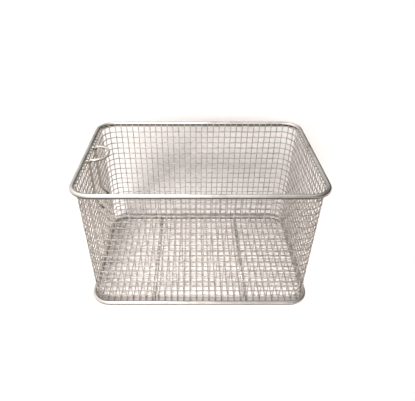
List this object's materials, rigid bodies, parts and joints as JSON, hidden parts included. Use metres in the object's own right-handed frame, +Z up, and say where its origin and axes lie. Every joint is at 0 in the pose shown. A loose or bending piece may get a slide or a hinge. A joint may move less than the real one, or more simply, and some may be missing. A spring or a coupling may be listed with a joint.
{
  "type": "deep fryer basket",
  "caption": "Rectangular wire mesh deep fryer basket with round rod rim and foot frame, support rods under the base, and an inward catch loop for a lifting handle.",
  "frame": {"origin": "middle of the footprint, on the surface the bottom frame stands on", "axes": "+X along the length to the right, away from the catch loop; +Y to the rear wall; +Z up"},
  "size_m": [0.2184, 0.1554, 0.1273],
  "materials": {
    "mesh_wire": "electropolished stainless steel wire, lightly dulled",
    "frame_rod": "electropolished stainless steel rod",
    "catch_wire": "electropolished stainless steel wire"
  },
  "bodies": {
    "root": {"hoop_01": "mesh_wire", "hoop_02": "mesh_wire", "hoop_03": "mesh_wire", "hoop_04": "mesh_wire", "hoop_05": "mesh_wire", "hoop_06": "mesh_wire", "hoop_07": "mesh_wire", "hoop_08": "mesh_wire", "hoop_09": "mesh_wire", "hoop_10": "mesh_wire", "hoop_11": "mesh_wire", "hoop_12": "mesh_wire", "hoop_13": "mesh_wire", "hoop_14": "mesh_wire", "hoop_15": "mesh_wire", "hoop_16": "mesh_wire", "hoop_17": "mesh_wire", "hoop_18": "mesh_wire", "hoop_19": "mesh_wire", "front_uprights": "mesh_wire", "rear_uprights": "mesh_wire", "left_uprights": "mesh_wire", "right_uprights": "mesh_wire", "front_left_corner_uprights": "mesh_wire", "front_right_corner_uprights": "mesh_wire", "rear_left_corner_uprights": "mesh_wire", "rear_right_corner_uprights": "mesh_wire", "base_long_wires": "mesh_wire", "base_cross_wires": "mesh_wire", "top_rim": "frame_rod", "bottom_frame": "frame_rod", "left_support_rod": "frame_rod", "right_support_rod": "frame_rod", "handle_catch_loop": "catch_wire"}
  },
  "joints": []
}
